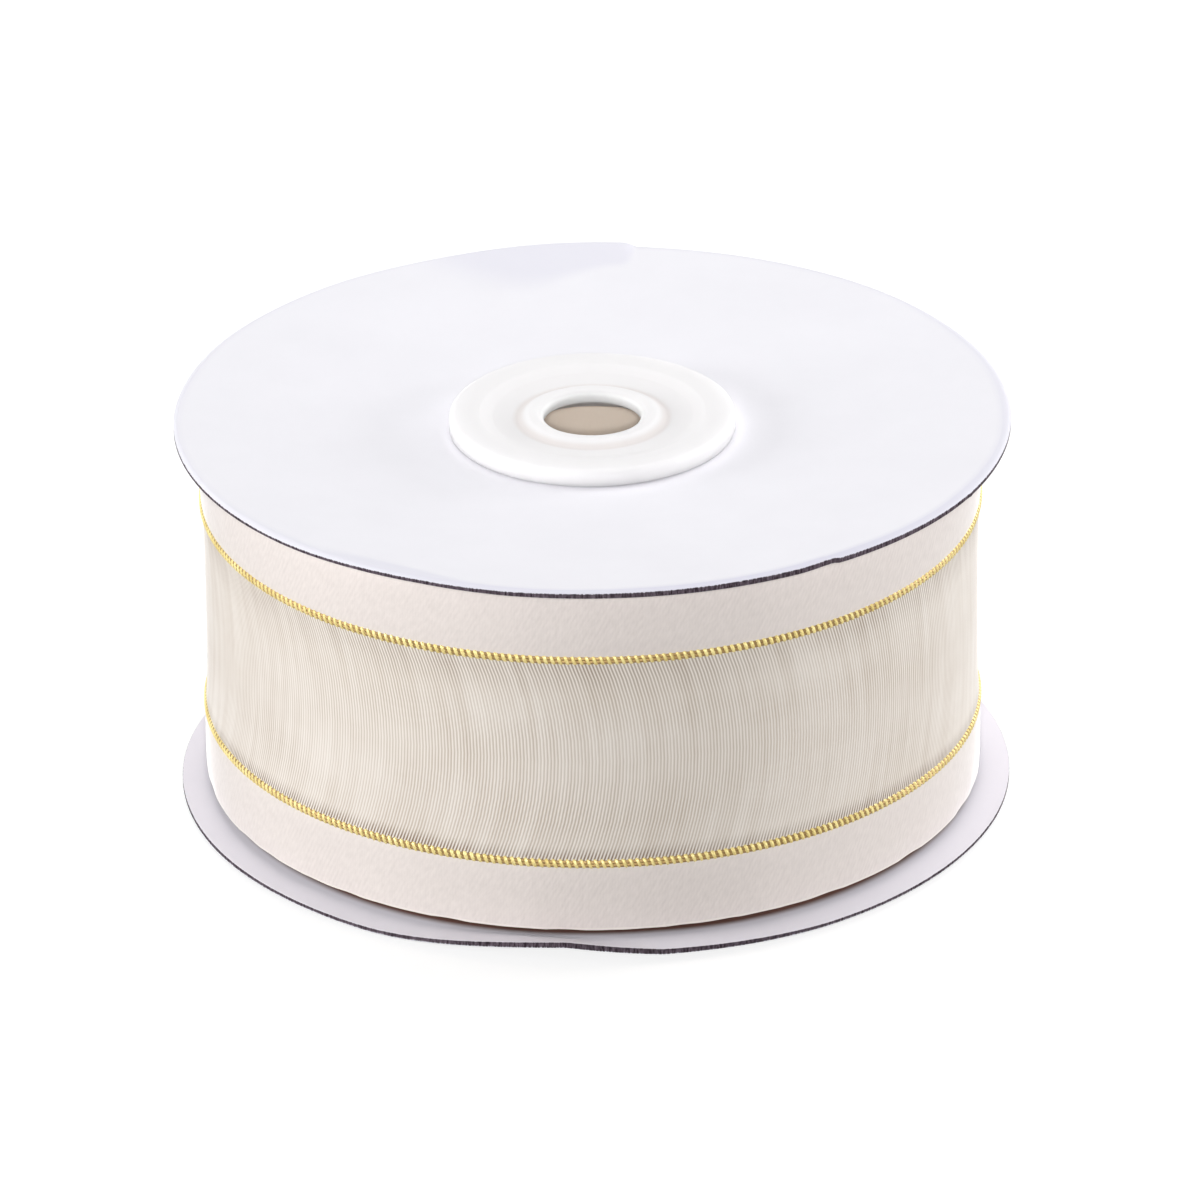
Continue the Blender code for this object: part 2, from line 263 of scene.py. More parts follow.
class Nodes:
    """Adds nodes to a tree: a socket given as an input is linked, any other value is set."""

    def __init__(self, tree):
        self.tree = tree

    def add(self, kind, inputs=None, **settings):
        made = self.tree.nodes.new(kind)
        made.location.x = 180 * len(self.tree.nodes)
        for name, value in settings.items():
            setattr(made, name, value)
        for key, value in (inputs or {}).items():
            socket = made.inputs[key]
            if isinstance(value, bpy.types.NodeSocket):
                self.tree.links.new(value, socket)
            else:
                socket.default_value = value
        return made

    def math(self, operation, *values, clamp=False):
        inputs = dict(enumerate(values))
        return self.add("ShaderNodeMath", inputs, operation=operation, use_clamp=clamp).outputs[0]

    def vector_math(self, operation, *values):
        inputs = dict(enumerate(values))
        return self.add("ShaderNodeVectorMath", inputs, operation=operation).outputs[0]

    def scaled(self, vector, scale):
        """A vector times a number."""
        inputs = {0: vector, "Scale": scale}
        return self.add("ShaderNodeVectorMath", inputs, operation="SCALE").outputs[0]

    def remap(self, value, low, high, to_low=0.0, to_high=1.0, smooth=False):
        inputs = {"Value": value, 1: low, 2: high, 3: to_low, 4: to_high}
        kind = "SMOOTHSTEP" if smooth else "LINEAR"
        return self.add("ShaderNodeMapRange", inputs, interpolation_type=kind).outputs["Result"]

    def blend(self, share, first, second):
        """Colour that goes from the first to the second as share goes from 0 to 1."""
        inputs = {0: share, 6: first, 7: second}
        return self.add("ShaderNodeMix", inputs, data_type="RGBA").outputs[2]

    def noise(self, vector, scale, detail=2.0, roughness=0.5):
        inputs = {"Vector": vector, "Scale": scale, "Detail": detail, "Roughness": roughness}
        return self.add("ShaderNodeTexNoise", inputs).outputs["Fac"]

    def bump(self, height, strength, distance):
        inputs = {"Height": height, "Strength": strength, "Distance": distance}
        return self.add("ShaderNodeBump", inputs).outputs["Normal"]

    def group(self, tree, inputs):
        kind = "GeometryNodeGroup" if tree.bl_idname == "GeometryNodeTree" else "ShaderNodeGroup"
        return self.add(kind, inputs, node_tree=tree).outputs

    def object_place(self):
        return self.add("ShaderNodeTexCoord").outputs["Object"]

    def weave_place(self):
        """Place along and across the cloth."""
        return self.add("ShaderNodeUVMap", uv_map="weave").outputs["UV"]

    def attribute(self, name):
        return self.add("ShaderNodeAttribute", attribute_name=name).outputs["Fac"]

    def parts(self, vector):
        """A vector's X, Y and Z."""
        return self.add("ShaderNodeSeparateXYZ", {0: vector}).outputs

    def axis_distance(self, place):
        """How far a place is from the spool's axis."""
        level = self.vector_math("MULTIPLY", place, (1.0, 1.0, 0.0))
        return self.add("ShaderNodeVectorMath", {0: level}, operation="LENGTH").outputs["Value"]

    def spread(self, value, low, high):
        """A value between 0 and 1, moved to between low and high."""
        return self.remap(value, 0.0, 1.0, low, high)

    def crown(self, place, pitch):
        """1 on the crest of each wave of a pitch, and 0 in the trough between."""
        waves = self.math("MULTIPLY", self.math("DIVIDE", place, pitch), TURN)
        return self.remap(self.math("COSINE", waves), -1.0, 1.0)


def opaque(rgb):
    return (*rgb, 1.0)


def new_tree(name, kind, inputs, outputs):
    """An empty node tree with named sockets, and its input node's sockets."""
    tree = bpy.data.node_groups.new(name, kind)
    for label, socket, default in inputs:
        made = tree.interface.new_socket(label, in_out="INPUT", socket_type="NodeSocket" + socket)
        if default is not None:
            made.default_value = default
    for label, socket in outputs:
        tree.interface.new_socket(label, in_out="OUTPUT", socket_type="NodeSocket" + socket)
    nodes = Nodes(tree)
    return tree, nodes, nodes.add("NodeGroupInput").outputs


def fibre_group():
    """Paper fibre: cloudy variation, and a fine grain of short fibres."""
    name = "Paper fibre"
    if name in bpy.data.node_groups:
        return bpy.data.node_groups[name]
    inputs = [("Place", "Vector", None), ("Cloud size", "Float", 12 * MM), ("Grain size", "Float", 0.4 * MM)]
    outputs = [("Cloud", "Float"), ("Grain", "Float")]
    tree, nodes, given = new_tree(name, "ShaderNodeTree", inputs, outputs)
    cloud_scale = nodes.math("DIVIDE", 1.0, given["Cloud size"])
    cloud = nodes.remap(nodes.noise(given["Place"], cloud_scale, 4.0, 0.6), 0.3, 0.7)
    grain_scale = nodes.math("DIVIDE", 1.0, given["Grain size"])
    stretched = nodes.vector_math("MULTIPLY", given["Place"], (1.0, 0.35, 1.0))
    lengthwise = nodes.noise(stretched, grain_scale, 3.0, 0.6)
    squeezed = nodes.vector_math("MULTIPLY", given["Place"], (0.35, 1.0, 1.0))
    crosswise = nodes.noise(squeezed, grain_scale, 3.0, 0.6)
    grain = nodes.remap(nodes.math("ADD", lengthwise, crosswise), 0.7, 1.3)
    nodes.add("NodeGroupOutput", {"Cloud": cloud, "Grain": grain})
    return tree


def marks_group():
    """Handling marks: sparse small specks, and soft patches of rubbing."""
    name = "Handling marks"
    if name in bpy.data.node_groups:
        return bpy.data.node_groups[name]
    inputs = [("Place", "Vector", None), ("Speck spacing", "Float", 6 * MM), ("Speck size", "Float", 0.02)]
    outputs = [("Speck", "Float"), ("Rub", "Float")]
    tree, nodes, given = new_tree(name, "ShaderNodeTree", inputs, outputs)
    speck_scale = nodes.math("DIVIDE", 1.0, given["Speck spacing"])
    cell_inputs = {"Vector": given["Place"], "Scale": speck_scale}
    cells = nodes.add("ShaderNodeTexVoronoi", cell_inputs)
    wide = nodes.math("MULTIPLY", given["Speck size"], 2.0)
    speck = nodes.remap(cells.outputs["Distance"], given["Speck size"], wide, 1.0, 0.0)
    rub = nodes.remap(nodes.noise(given["Place"], 260.0, 5.0, 0.7), 0.52, 0.72)
    nodes.add("NodeGroupOutput", {"Speck": speck, "Rub": rub})
    return tree


def thread_group():
    """Threads across a ribbon: a crown on each thread, uneven threads and drifting contrast."""
    name = "Weft threads"
    if name in bpy.data.node_groups:
        return bpy.data.node_groups[name]
    inputs = [("Weave", "Vector", None), ("Pitch", "Float", 0.35 * MM)]
    outputs = [("Crown", "Float"), ("Uneven", "Float"), ("Drift", "Float")]
    tree, nodes, given = new_tree(name, "ShaderNodeTree", inputs, outputs)
    crown = nodes.crown(nodes.parts(given["Weave"])["X"], given["Pitch"])
    per_thread = nodes.vector_math("MULTIPLY", given["Weave"], (900.0, 60.0, 0.0))
    uneven = nodes.remap(nodes.noise(per_thread, 1.0, 2.0), 0.3, 0.7)
    slow = nodes.vector_math("MULTIPLY", given["Weave"], (55.0, 110.0, 0.0))
    drift = nodes.remap(nodes.noise(slow, 1.0, 3.0), 0.3, 0.7)
    nodes.add("NodeGroupOutput", {"Crown": crown, "Uneven": uneven, "Drift": drift})
    return tree


# Materials


def new_material(name, rgb):
    """A material with its Principled shader, ready for its own nodes."""
    made = bpy.data.materials.new(name)
    made.use_nodes = True
    made.diffuse_color = opaque(rgb)
    return made, Nodes(made.node_tree), made.node_tree.nodes["Principled BSDF"]


def feed(material, shader, **sources):
    """Links sources to the shader's sockets, named with underscores for spaces."""
    for name, source in sources.items():
        material.node_tree.links.new(source, shader.inputs[name.replace("_", " ")])


def card_material(colours, roll_radius):
    """White lined greyboard. Its inner faces take a slightly greyer copy of the liner as painted shade, with
    a painted shadow in dark brown under the roll's edge.

    Attributes tell where the grey core shows, where the painted edge shade goes and which side is inside.
    """
    made, nodes, shader = new_material("white_lined_card", colours.card)
    place = nodes.object_place()
    fibre = nodes.group(fibre_group(), {"Place": place})
    marks = nodes.group(marks_group(), {"Place": place, "Speck spacing": 14 * MM, "Speck size": 0.006})
    liner = nodes.blend(fibre["Cloud"], opaque(colours.card), opaque(colours.card_shade))
    edge_shade = nodes.attribute("edge_shade")
    # Painted shade on the rolled over and bent edges
    liner = nodes.blend(edge_shade, liner, opaque(colours.card_edge_shade))
    liner = nodes.blend(marks["Speck"], liner, opaque(colours.board))
    radius = nodes.axis_distance(place)
    # Painted shadow on the inner faces, dark brown inside the roll's edge
    painted_roll_shadow = nodes.remap(radius, roll_radius - 1.0 * MM, roll_radius - 2.1 * MM, smooth=True)
    inner_liner_and_shadow = nodes.blend(painted_roll_shadow, opaque(colours.card_inside), opaque(colours.card_roll_shadow))
    inside = nodes.attribute("inside")
    liner = nodes.blend(inside, liner, inner_liner_and_shadow)
    torn = nodes.noise(nodes.vector_math("MULTIPLY", place, (1.0, 1.0, 0.2)), 6500.0, 2.0)
    fray = nodes.remap(torn, 0.35, 0.65)
    board = nodes.blend(fray, opaque(colours.board_dark), opaque(colours.board))
    core = nodes.attribute("core")
    ragged = nodes.math("ADD", core, nodes.spread(fray, 0.2, -0.3))
    bare = nodes.remap(ragged, 0.4, 0.6)
    surface = nodes.blend(bare, liner, board)
    rubbing_and_edge_shade = nodes.spread(marks["Rub"], 0.75, 0.85)
    roughness = nodes.math("MAXIMUM", rubbing_and_edge_shade, nodes.spread(bare, 0.0, 0.92))
    relief = nodes.bump(fibre["Grain"], 0.18, 0.04 * MM)
    feed(made, shader, Base_Color=surface, Roughness=roughness, Normal=relief)
    shader.inputs["Specular IOR Level"].default_value = 0.12
    return made


def plastic_material(colours, bore_radius):
    """Moulded translucent white plastic with an uneven gloss.

    It is painted white round the bore as painted light on the bore's wall, and painted a warmer grey in the
    fold round the collar as painted shade.
    """
    made, nodes, shader = new_material("moulded_white_plastic", colours.plastic)
    place = nodes.object_place()
    marks = nodes.group(marks_group(), {"Place": place, "Speck spacing": 9 * MM, "Speck size": 0.008})
    cloud = nodes.remap(nodes.noise(place, 140.0, 1.0), 0.3, 0.7)
    warm = tuple(0.985 * channel for channel in colours.plastic)
    surface = nodes.blend(cloud, opaque(colours.plastic), opaque(warm))
    surface = nodes.blend(marks["Speck"], surface, opaque(colours.tube_shade))
    radius = nodes.axis_distance(place)
    # Painted light: white round the bore, to brighten the bore's wall
    painted_bore_light = nodes.remap(radius, bore_radius + 0.1 * MM, bore_radius + 0.4 * MM, 1.0, 0.0, smooth=True)
    surface = nodes.blend(painted_bore_light, surface, WHITE)
    fold_radius = bore_radius + 2.6 * MM
    from_fold = nodes.math("ABSOLUTE", nodes.math("SUBTRACT", radius, fold_radius))
    # Painted shade in the fold round the collar, all the way round
    painted_fold_shade = nodes.remap(from_fold, 0.1 * MM, 0.8 * MM, 0.35, 0.0, smooth=True)
    surface = nodes.blend(painted_fold_shade, surface, opaque(colours.plastic_fold_shade))
    roughness = nodes.spread(cloud, 0.5, 0.56)
    relief = nodes.bump(cloud, 0.04, 0.05 * MM)
    feed(made, shader, Base_Color=surface, Roughness=roughness, Normal=relief)
    shader.inputs["Specular IOR Level"].default_value = 0.2
    shader.inputs["Subsurface Weight"].default_value = 0.9
    shader.inputs["Subsurface Scale"].default_value = 2.4 * MM
    shader.inputs["Subsurface Radius"].default_value = (1.0, 1.0, 1.0)
    return made


def tube_material(colours, seam_pitch):
    """Spiral-wound paper: fibres, and a dark seam that climbs round the tube."""
    made, nodes, shader = new_material("spiral_paper", colours.tube)
    place = nodes.object_place()
    fibre = nodes.group(fibre_group(), {"Place": place, "Cloud size": 5 * MM, "Grain size": 0.5 * MM})
    parts = nodes.parts(place)
    bearing = nodes.math("ARCTAN2", parts["Y"], parts["X"])
    climb = nodes.math("MULTIPLY", parts["Z"], 1 / seam_pitch)
    along = nodes.math("FRACT", nodes.math("SUBTRACT", climb, nodes.math("DIVIDE", bearing, TURN)))
    seam = nodes.remap(nodes.math("ABSOLUTE", nodes.math("SUBTRACT", along, 0.5)), 0.012, 0.03, 1.0, 0.0)
    paper = nodes.blend(fibre["Cloud"], opaque(colours.tube), opaque(colours.tube_shade))
    paper = nodes.blend(nodes.math("MULTIPLY", fibre["Grain"], 0.35), paper, opaque(colours.tube_shade))
    surface = nodes.blend(seam, paper, opaque(colours.tube_shade))
    height = nodes.math("SUBTRACT", fibre["Grain"], seam)
    roughness = nodes.spread(fibre["Grain"], 0.78, 0.92)
    relief = nodes.bump(height, 0.15, 0.08 * MM)
    feed(made, shader, Base_Color=surface, Roughness=roughness, Normal=relief)
    return made


def roll_material(colours, turn_pitch):
    """The stacked turns of ribbon: their edges show as fine rings on the roll's ends, with painted shade in
    the gaps between them.
    """
    made, nodes, shader = new_material("stacked_ribbon", colours.satin)
    place = nodes.object_place()
    radius = nodes.axis_distance(place)
    wander = nodes.spread(nodes.noise(place, 300.0, 3.0), -0.15 * MM, 0.15 * MM)
    crown = nodes.crown(nodes.math("ADD", radius, wander), turn_pitch)
    cloud = nodes.remap(nodes.noise(place, 120.0, 3.0), 0.3, 0.7)
    # Painted shade in the gaps between the stacked turns
    gap = nodes.blend(cloud, opaque(colours.gap_cord_shade), opaque(colours.gap))
    surface = nodes.blend(crown, gap, opaque(colours.satin_shade))
    roughness = nodes.spread(crown, 0.8, 0.55)
    relief = nodes.bump(crown, 0.5, 0.1 * MM)
    feed(made, shader, Base_Color=surface, Roughness=roughness, Normal=relief)
    return made


def sheer_material(colours, pitch, half_width):
    """Sheer cloth: pale weft threads with painted shade in the gaps between them, painted darker beside the
    cords.
    """
    made, nodes, shader = new_material("cream_sheer_cloth", colours.thread)
    weave = nodes.weave_place()
    threads = nodes.group(thread_group(), {"Weave": weave, "Pitch": pitch})
    up = nodes.parts(weave)["Y"]
    across = nodes.math("ABSOLUTE", up)
    # Painted shade beside the cords: wide and light by the upper cord, narrow and dark by the lower one
    start = nodes.remap(up, -MM, MM, half_width - 2.2 * MM, half_width - 5.0 * MM)
    painted_cord_shade = nodes.remap(across, start, half_width - 0.5 * MM, smooth=True)
    painted_cord_shade = nodes.math("MULTIPLY", painted_cord_shade, nodes.remap(up, -MM, MM, 1.0, 0.6))
    gap = nodes.blend(painted_cord_shade, opaque(colours.gap), opaque(colours.gap_cord_shade))
    contrast = nodes.spread(threads["Drift"], 0.45, 0.9)
    contrast = nodes.math("ADD", contrast, nodes.math("MULTIPLY", painted_cord_shade, 0.3))
    depth = nodes.math("MULTIPLY", nodes.math("SUBTRACT", 1.0, threads["Crown"]), contrast)
    uneven = nodes.spread(threads["Uneven"], -0.1, 0.1)
    share = nodes.math("ADD", depth, uneven, clamp=True)
    surface = nodes.blend(share, opaque(colours.thread), gap)
    roughness = nodes.spread(threads["Uneven"], 0.5, 0.66)
    feed(made, shader, Base_Color=surface, Roughness=roughness)
    shader.inputs["Sheen Weight"].default_value = 0.5
    shader.inputs["Sheen Roughness"].default_value = 0.35
    shader.inputs["Specular IOR Level"].default_value = 0.35
    return made


def satin_material(colours, free_edge):
    """Satin: slanting floats with fine threads between them, a soft sheen and a pale woven edge, which is
    partly a painted highlight along the free edge.
    """
    made, nodes, shader = new_material("cream_satin_cloth", colours.satin)
    weave = nodes.weave_place()
    threads = nodes.group(thread_group(), {"Weave": weave, "Pitch": 0.3 * MM})
    slant = nodes.add("ShaderNodeMapping", {"Vector": weave, "Rotation": (0.0, 0.0, math.radians(27))})
    slanted = nodes.group(thread_group(), {"Weave": slant.outputs[0], "Pitch": 0.46 * MM})
    fine_place = nodes.vector_math("MULTIPLY", slant.outputs[0], (2600.0, 1000.0, 0.0))
    fine = nodes.remap(nodes.noise(fine_place, 1.0, 2.0), 0.3, 0.7)
    twill = nodes.math("MULTIPLY", slanted["Crown"], nodes.spread(slanted["Drift"], 0.05, 0.3))
    faint = nodes.math("MULTIPLY", threads["Crown"], 0.1)
    shade = nodes.math("ADD", nodes.math("MULTIPLY", fine, 0.5), nodes.math("ADD", twill, faint))
    shade = nodes.math("ADD", shade, nodes.spread(threads["Drift"], -0.1, 0.1), clamp=True)
    surface = nodes.blend(shade, opaque(colours.satin), opaque(colours.satin_shade))
    across = nodes.math("ABSOLUTE", nodes.parts(weave)["Y"])
    # Pale woven edge, partly a painted highlight along the free edge
    selvedge_highlight = nodes.remap(across, free_edge - 0.32 * MM, free_edge - 0.22 * MM, smooth=True)
    surface = nodes.blend(selvedge_highlight, surface, opaque(colours.thread))
    roughness = nodes.spread(fine, 0.4, 0.52)
    relief = nodes.bump(nodes.math("ADD", fine, twill), 0.25, 0.03 * MM)
    feed(made, shader, Base_Color=surface, Roughness=roughness, Normal=relief)
    shader.inputs["Sheen Weight"].default_value = 0.8
    shader.inputs["Sheen Roughness"].default_value = 0.3
    return made


def gold_material(colours):
    """Metal foil thread: small bright and dark facets along the strands, and dark brown core yarns between
    them, partly painted shade in the gaps.
    """
    made, nodes, shader = new_material("gold_foil_thread", colours.gold)
    place = nodes.object_place()
    facet = nodes.remap(nodes.noise(place, 5200.0, 2.0), 0.35, 0.65)
    drift = nodes.remap(nodes.noise(place, 300.0, 2.0), 0.3, 0.7)
    tone = nodes.math("ADD", nodes.math("MULTIPLY", facet, 0.4), nodes.math("MULTIPLY", drift, 0.6))
    foil = nodes.blend(tone, opaque(colours.gold_shade), opaque(colours.gold))
    core = nodes.attribute("core_yarn")
    # Core yarns in dark brown, partly painted shade between the strands
    surface = nodes.blend(core, foil, opaque(colours.gold_core_shade))
    roughness = nodes.spread(facet, 0.6, 0.45)
    relief = nodes.bump(facet, 0.3, 0.03 * MM)
    feed(made, shader, Base_Color=surface, Roughness=roughness, Normal=relief)
    shader.inputs["Metallic"].default_value = 0.5
    return made


def film_material(colours):
    """Clear adhesive film with a faint haze."""
    made, nodes, shader = new_material("clear_film", colours.tape)
    place = nodes.object_place()
    marks = nodes.group(marks_group(), {"Place": place, "Speck spacing": 4 * MM, "Speck size": 0.03})
    haze = nodes.math("ADD", nodes.spread(marks["Rub"], 0.2, 0.34), marks["Speck"], clamp=True)
    surface = nodes.blend(marks["Rub"], opaque(colours.tape), opaque(colours.satin))
    roughness = nodes.spread(marks["Rub"], 0.14, 0.3)
    feed(made, shader, Base_Color=surface, Roughness=roughness, Alpha=haze)
    return made


def paper_tape_material(colours):
    """Creped paper tape."""
    made, nodes, shader = new_material("creped_paper", colours.paper_tape)
    place = nodes.object_place()
    fibre = nodes.group(fibre_group(), {"Place": place, "Cloud size": 3 * MM, "Grain size": 0.6 * MM})
    surface = nodes.blend(fibre["Cloud"], opaque(colours.paper_tape), opaque(colours.tube))
    roughness = nodes.spread(fibre["Grain"], 0.6, 0.8)
    relief = nodes.bump(fibre["Grain"], 0.5, 0.06 * MM)
    feed(made, shader, Base_Color=surface, Roughness=roughness, Normal=relief)
    return made


# Meshes


def smoothstep(low, high, values):
    share = np.clip((values - low) / (high - low), 0.0, 1.0)
    return share * share * (3 - 2 * share)


def ring_points(radii, bearings, heights):
    """Points from radii, bearings and heights above the spool's middle, which broadcast together."""
    radii, bearings, heights = np.broadcast_arrays(radii, bearings, heights)
    x = radii * np.cos(bearings)
    y = radii * np.sin(bearings)
    return np.stack([x, y, heights + MIDDLE_HEIGHT], axis=-1)


def end_heights(sign, heights):
    """Heights at the spool's upper (1) or lower (-1) end, from heights outwards from its middle."""
    return heights if sign > 0 else -heights - LOWER_SLACK


def shell(name, points, closed, weave=None):
    """A closed shell over sections, from points[section, place on the section's closed outline].

    With closed, the last section joins the first. Otherwise both end sections are capped, and
    each outline runs up one face of a strip and back down the other. The weave holds each
    point's place along and across the cloth.
    """
    sections, around = points.shape[:2]
    index = np.arange(sections * around).reshape(sections, around)
    if closed:
        here, there = index, np.roll(index, -1, axis=0)
    else:
        here, there = index[:-1], index[1:]
    corners = [here, np.roll(here, -1, axis=1), np.roll(there, -1, axis=1), there]
    faces = np.stack(corners, axis=-1).reshape(-1, 4)
    if not closed:
        for end in (index[0], index[-1]):
            face, other = end[: around // 2], end[around // 2:][::-1]
            cap = np.stack([face[:-1], face[1:], other[1:], other[:-1]], axis=-1)
            faces = np.concatenate([faces, cap])
    mesh = bpy.data.meshes.new(name)
    mesh.from_pydata(points.reshape(-1, 3).tolist(), [], faces.tolist())
    if weave is not None:
        corner_points = np.zeros(len(mesh.loops), np.int32)
        mesh.loops.foreach_get("vertex_index", corner_points)
        layer = mesh.uv_layers.new(name="weave")
        layer.data.foreach_set("uv", weave.reshape(-1, 2)[corner_points].astype(np.float32).ravel())
    turn_outwards(mesh)
    return mesh


def turn_outwards(mesh):
    work = bmesh.new()
    work.from_mesh(mesh)
    bmesh.ops.recalc_face_normals(work, faces=work.faces)
    work.to_mesh(mesh)
    work.free()


def filleted(corners, spans=6):
    """A closed outline of (radius, height, fillet) corners, with each corner rounded."""
    outline = []
    for i, (x, y, fillet) in enumerate(corners):
        here = Vector((x, y))
        before = Vector(corners[i - 1][:2]) - here
        after = Vector(corners[(i + 1) % len(corners)][:2]) - here
        half = before.angle(after) / 2
        reach = fillet / math.tan(half)
        room = 0.48 * min(before.length, after.length)
        if reach > room:
            reach = room
            fillet = reach * math.tan(half)
        start = here + before.normalized() * reach
        end = here + after.normalized() * reach
        middle = here + (before.normalized() + after.normalized()).normalized() * (fillet / math.sin(half))
        spoke = start - middle
        sweep = -spoke.angle_signed(end - middle)
        for step in range(spans + 1):
            outline.append(middle + Matrix.Rotation(sweep * step / spans, 2) @ spoke)
    return np.array([tuple(point) for point in outline])


def place_piece(name, mesh, material, node):
    """One finished piece, standing for its solid."""
    if material is not None:
        mesh.materials.clear()
        mesh.materials.append(material)
    mesh.shade_smooth()
    mesh.set_sharp_from_angle(angle=math.radians(40))
    made = bpy.data.objects.new(name, mesh)
    bpy.context.scene.collection.objects.link(made)
    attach(made, "root")
    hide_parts(node)
    return made


def grown(name, source, tree, values):
    """The plain mesh that a geometry tree makes from a source mesh."""
    host = bpy.data.objects.new(name + "_source", source)
    bpy.context.scene.collection.objects.link(host)
    modifier = host.modifiers.new(tree.name, "NODES")
    modifier.node_group = tree
    sockets = [item for item in tree.interface.items_tree if item.item_type == "SOCKET"]
    for socket in sockets:
        if socket.in_out == "INPUT" and socket.name in values:
            modifier[socket.identifier] = values[socket.name]
    graph = bpy.context.evaluated_depsgraph_get()
    mesh = bpy.data.meshes.new_from_object(host.evaluated_get(graph))
    bpy.data.objects.remove(host, do_unlink=True)
    if not mesh.polygons:
        raise RuntimeError(name + " came out empty")
    return mesh


# Flanges


def bearings_from(bearing, *degrees):
    """Bearings that lie some degrees on from another one."""
    return [bearing + math.radians(turned) for turned in degrees]


def bend_shares(radii, bearings, reach, sharp_end, peak, soft_end):
    """How much of a bend each point takes, out from a crease that curves in from the edge."""
    share = np.clip((bearings - sharp_end) / (soft_end - sharp_end), 0.0, 1.0)
    crease = reach * (0.45 + 0.55 * smoothstep(0.0, 0.55, share)) * np.sqrt(1 - share**4)
    beyond = np.clip((radii - FLANGE_RADIUS + crease) / np.maximum(crease, 0.1 * MM), 0.0, 1.0)
    rising = np.clip((bearings - sharp_end) / (peak - sharp_end), 0.0, 1.0)
    return beyond * np.minimum(rising, smoothstep(soft_end, peak, bearings))


def flange_mesh(name, reel, sign, bends, core_shown, core_shown_front, core_lean, core_spread):
    """A die-cut board disc: the outer liner rolls over the edge, below it the grey core shows.

    The core shows over a share of the edge, given away from the front and at the front, and in
    degrees where it shows most to the right of the front and how wide that spreads. Each bend is
    a lift along +Z, its reach in from the edge, and the bearings of its sharp end, its peak and
    its soft end.
    """
    clamp = PLUG_RADIUS + reel.clamp_margin
    hole = TUBE_RADIUS - reel.tube_wall
    board = reel.board_thickness
    corner = 0.04 * MM
    bearings = np.linspace(-TURN / 2, TURN / 2, 600, endpoint=False)[:, None]
    uneven = 0.5 + 0.32 * np.cos(bearings + TURN / 8) + 0.1 * np.sin(5 * bearings + 0.3)
    uneven = uneven + 0.08 * np.sin(13 * bearings + 1.2)
    width = reel.roll_width * (0.3 + 0.9 * uneven)
    lean = math.radians(core_lean)
    spread = math.radians(core_spread)
    near_front = np.exp(-(((bearings - FRONT - lean) / spread) ** 2))
    shown = core_shown + (core_shown_front - core_shown) * near_front
    depth = board * (1 - shown) * (0.8 + 0.4 * uneven)
    # Outline from the hole along the outer face, over the rolled edge, down the core and back inside
    face = np.linspace(0.0, 1.0, 40) ** 0.75
    roll = np.sin(np.linspace(0.0, TURN / 4, 9))[1:]
    drop = 1 - np.cos(np.linspace(0.0, TURN / 4, 9))[1:]
    core = np.linspace(1.0, 0.0, 5)[1:]
    outer_face = hole + (FLANGE_RADIUS - width - hole) * face
    inner_face = np.broadcast_to(hole + (FLANGE_RADIUS - corner - hole) * face[::-1], outer_face.shape)
    rolled = FLANGE_RADIUS - width + width * roll
    rim = np.full((len(bearings), len(core)), FLANGE_RADIUS)
    radii = np.concatenate([outer_face, rolled, rim, inner_face], axis=1)
    level = np.zeros(outer_face.shape)
    rim_lifts = corner + (board - depth - corner) * core
    lifts = np.concatenate([level + board, board - depth * drop, rim_lifts, level], axis=1)
    free = np.clip((radii - clamp) / (FLANGE_RADIUS - clamp), 0.0, 1.0)
    ripple = MM * free**2 * (0.04 * np.sin(3 * bearings + 0.7) + 0.03 * np.sin(7 * bearings + 2.1))
    warp = reel.flange_warp * free**2 * (0.5 + 0.5 * np.cos(bearings - BACK))
    heights = FLANGE_FACE + lifts + reel.flange_bow * free**1.5 + np.minimum(ripple, 0.0) - warp
    heights = end_heights(sign, heights)
    bare = [np.zeros(len(face)), np.zeros(len(roll) - 1), [0.5], np.ones(len(core)), np.zeros(len(face))]
    bare = np.broadcast_to(np.concatenate(bare), radii.shape)
    # Painted shade over the rolled edge, strongest at the front
    rubbing_and_edge_shade = [np.zeros(len(face) - 1), [0.5], np.ones(len(roll)), np.zeros(len(core) + len(face))]
    edge_shade = np.concatenate(rubbing_and_edge_shade) * (0.35 + 0.65 * near_front)
    inside = [np.zeros(len(face) + len(roll) + len(core)), np.ones(len(face))]
    inside = np.broadcast_to(np.concatenate(inside), radii.shape)
    for lift, *bend in bends:
        shares = bend_shares(radii, bearings, *bend)
        heights = heights + lift * shares
        # Painted shade over each bent patch
        edge_shade = np.maximum(edge_shade, 0.5 * smoothstep(0.0, 0.3, shares))
    mesh = shell(name, ring_points(radii, bearings, heights), closed=True)
    for label, values in (("core", bare), ("edge_shade", edge_shade), ("inside", inside)):
        layer = mesh.attributes.new(label, "FLOAT", "POINT")
        layer.data.foreach_set("value", values.astype(np.float32).ravel())
    return mesh


